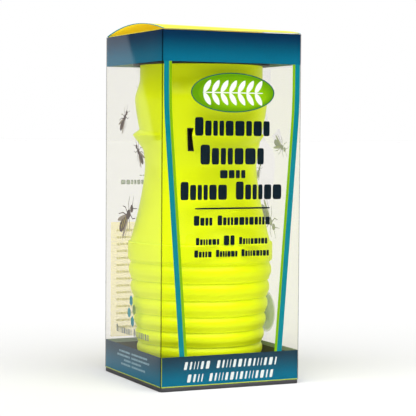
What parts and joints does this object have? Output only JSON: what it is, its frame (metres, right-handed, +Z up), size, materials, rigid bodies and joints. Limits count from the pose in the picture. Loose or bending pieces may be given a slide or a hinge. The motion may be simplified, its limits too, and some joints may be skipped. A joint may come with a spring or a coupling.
{
  "type": "wasp trap",
  "caption": "Vase-shaped ribbed wasp trap with hooded side ports, black lid and folding bail, standing in a clear square retail carton with printed bands.",
  "frame": {"origin": "middle of the carton's underside, on the surface it stands on", "axes": "+Z up along the trap's axis, the carton's printed front faces -Y, +X to the right of the front"},
  "size_m": [0.112, 0.112, 0.2668],
  "materials": {
    "tray": "dark grey thermoformed sheet, satin",
    "trap_yellow": "fluorescent yellow moulded polypropylene, slightly translucent, satin gloss",
    "funnel": "fluorescent yellow moulded plastic, matte",
    "trap_black": "black moulded plastic, fine grain",
    "vial": "amber bottle plastic, glossy",
    "vial_cap": "white moulded plastic",
    "clear_sheet": "clear printed PET sheet, glossy",
    "printed_panel": "PET sheet printed yellow with a teal border"
  },
  "bodies": {
    "base": {"base_tray": "tray", "catch_jar": "trap_yellow", "one_way_funnel": "funnel"},
    "upper": {"entry_body": "trap_yellow", "port_tunnel_1": "trap_black", "port_tunnel_2": "trap_black", "port_tunnel_3": "trap_black"},
    "cap": {"top_lid": "trap_black", "bait_basket": "funnel", "bait_vial": "vial", "vial_cap": "vial_cap"},
    "bail": {"bail": "trap_black"},
    "sleeve": {"carton_sleeve": "clear_sheet"},
    "lid_panel": {"carton_lid": "printed_panel", "tuck_flap": "printed_panel"},
    "dust_left": {"dust_flap_left": "printed_panel"},
    "dust_right": {"dust_flap_right": "printed_panel"}
  },
  "joints": [
    {"name": "sleeve_lift", "type": "slide", "parent": "base", "child": "sleeve", "axis": [0, 0, 1], "range_m": [0, 0.33]},
    {"name": "carton_lid_hinge", "type": "hinge", "parent": "sleeve", "child": "lid_panel", "pos_m": [0, -0.0558, 0.2602], "axis": [1, 0, 0], "range_deg": [0, 135]},
    {"name": "dust_flap_left_hinge", "type": "hinge", "parent": "sleeve", "child": "dust_left", "pos_m": [-0.0558, 0, 0.2602], "axis": [0, -1, 0], "range_deg": [0, 101.25]},
    {"name": "dust_flap_right_hinge", "type": "hinge", "parent": "sleeve", "child": "dust_right", "pos_m": [0.0558, 0, 0.2602], "axis": [0, 1, 0], "range_deg": [0, 101.25]},
    {"name": "jar_twist", "type": "hinge", "parent": "base", "child": "upper", "pos_m": [0, 0, 0.0985], "axis": [0, 0, 1], "range_deg": [0, 30]},
    {"name": "lid_twist", "type": "hinge", "parent": "upper", "child": "cap", "pos_m": [0, 0, 0.242], "axis": [0, 0, 1], "range_deg": [0, 60]},
    {"name": "bail_raise", "type": "hinge", "parent": "cap", "child": "bail", "pos_m": [0, 0, 0.253], "axis": [1, 0, 0], "range_deg": [0, 90.1]}
  ],
  "couplings": [
    {"joint": "dust_flap_left_hinge", "follows": "carton_lid_hinge", "ratio": 0.75},
    {"joint": "dust_flap_right_hinge", "follows": "carton_lid_hinge", "ratio": 0.75},
    {"joint": "bail_raise", "follows": "sleeve_lift", "rad_per_m": 4.76}
  ]
}
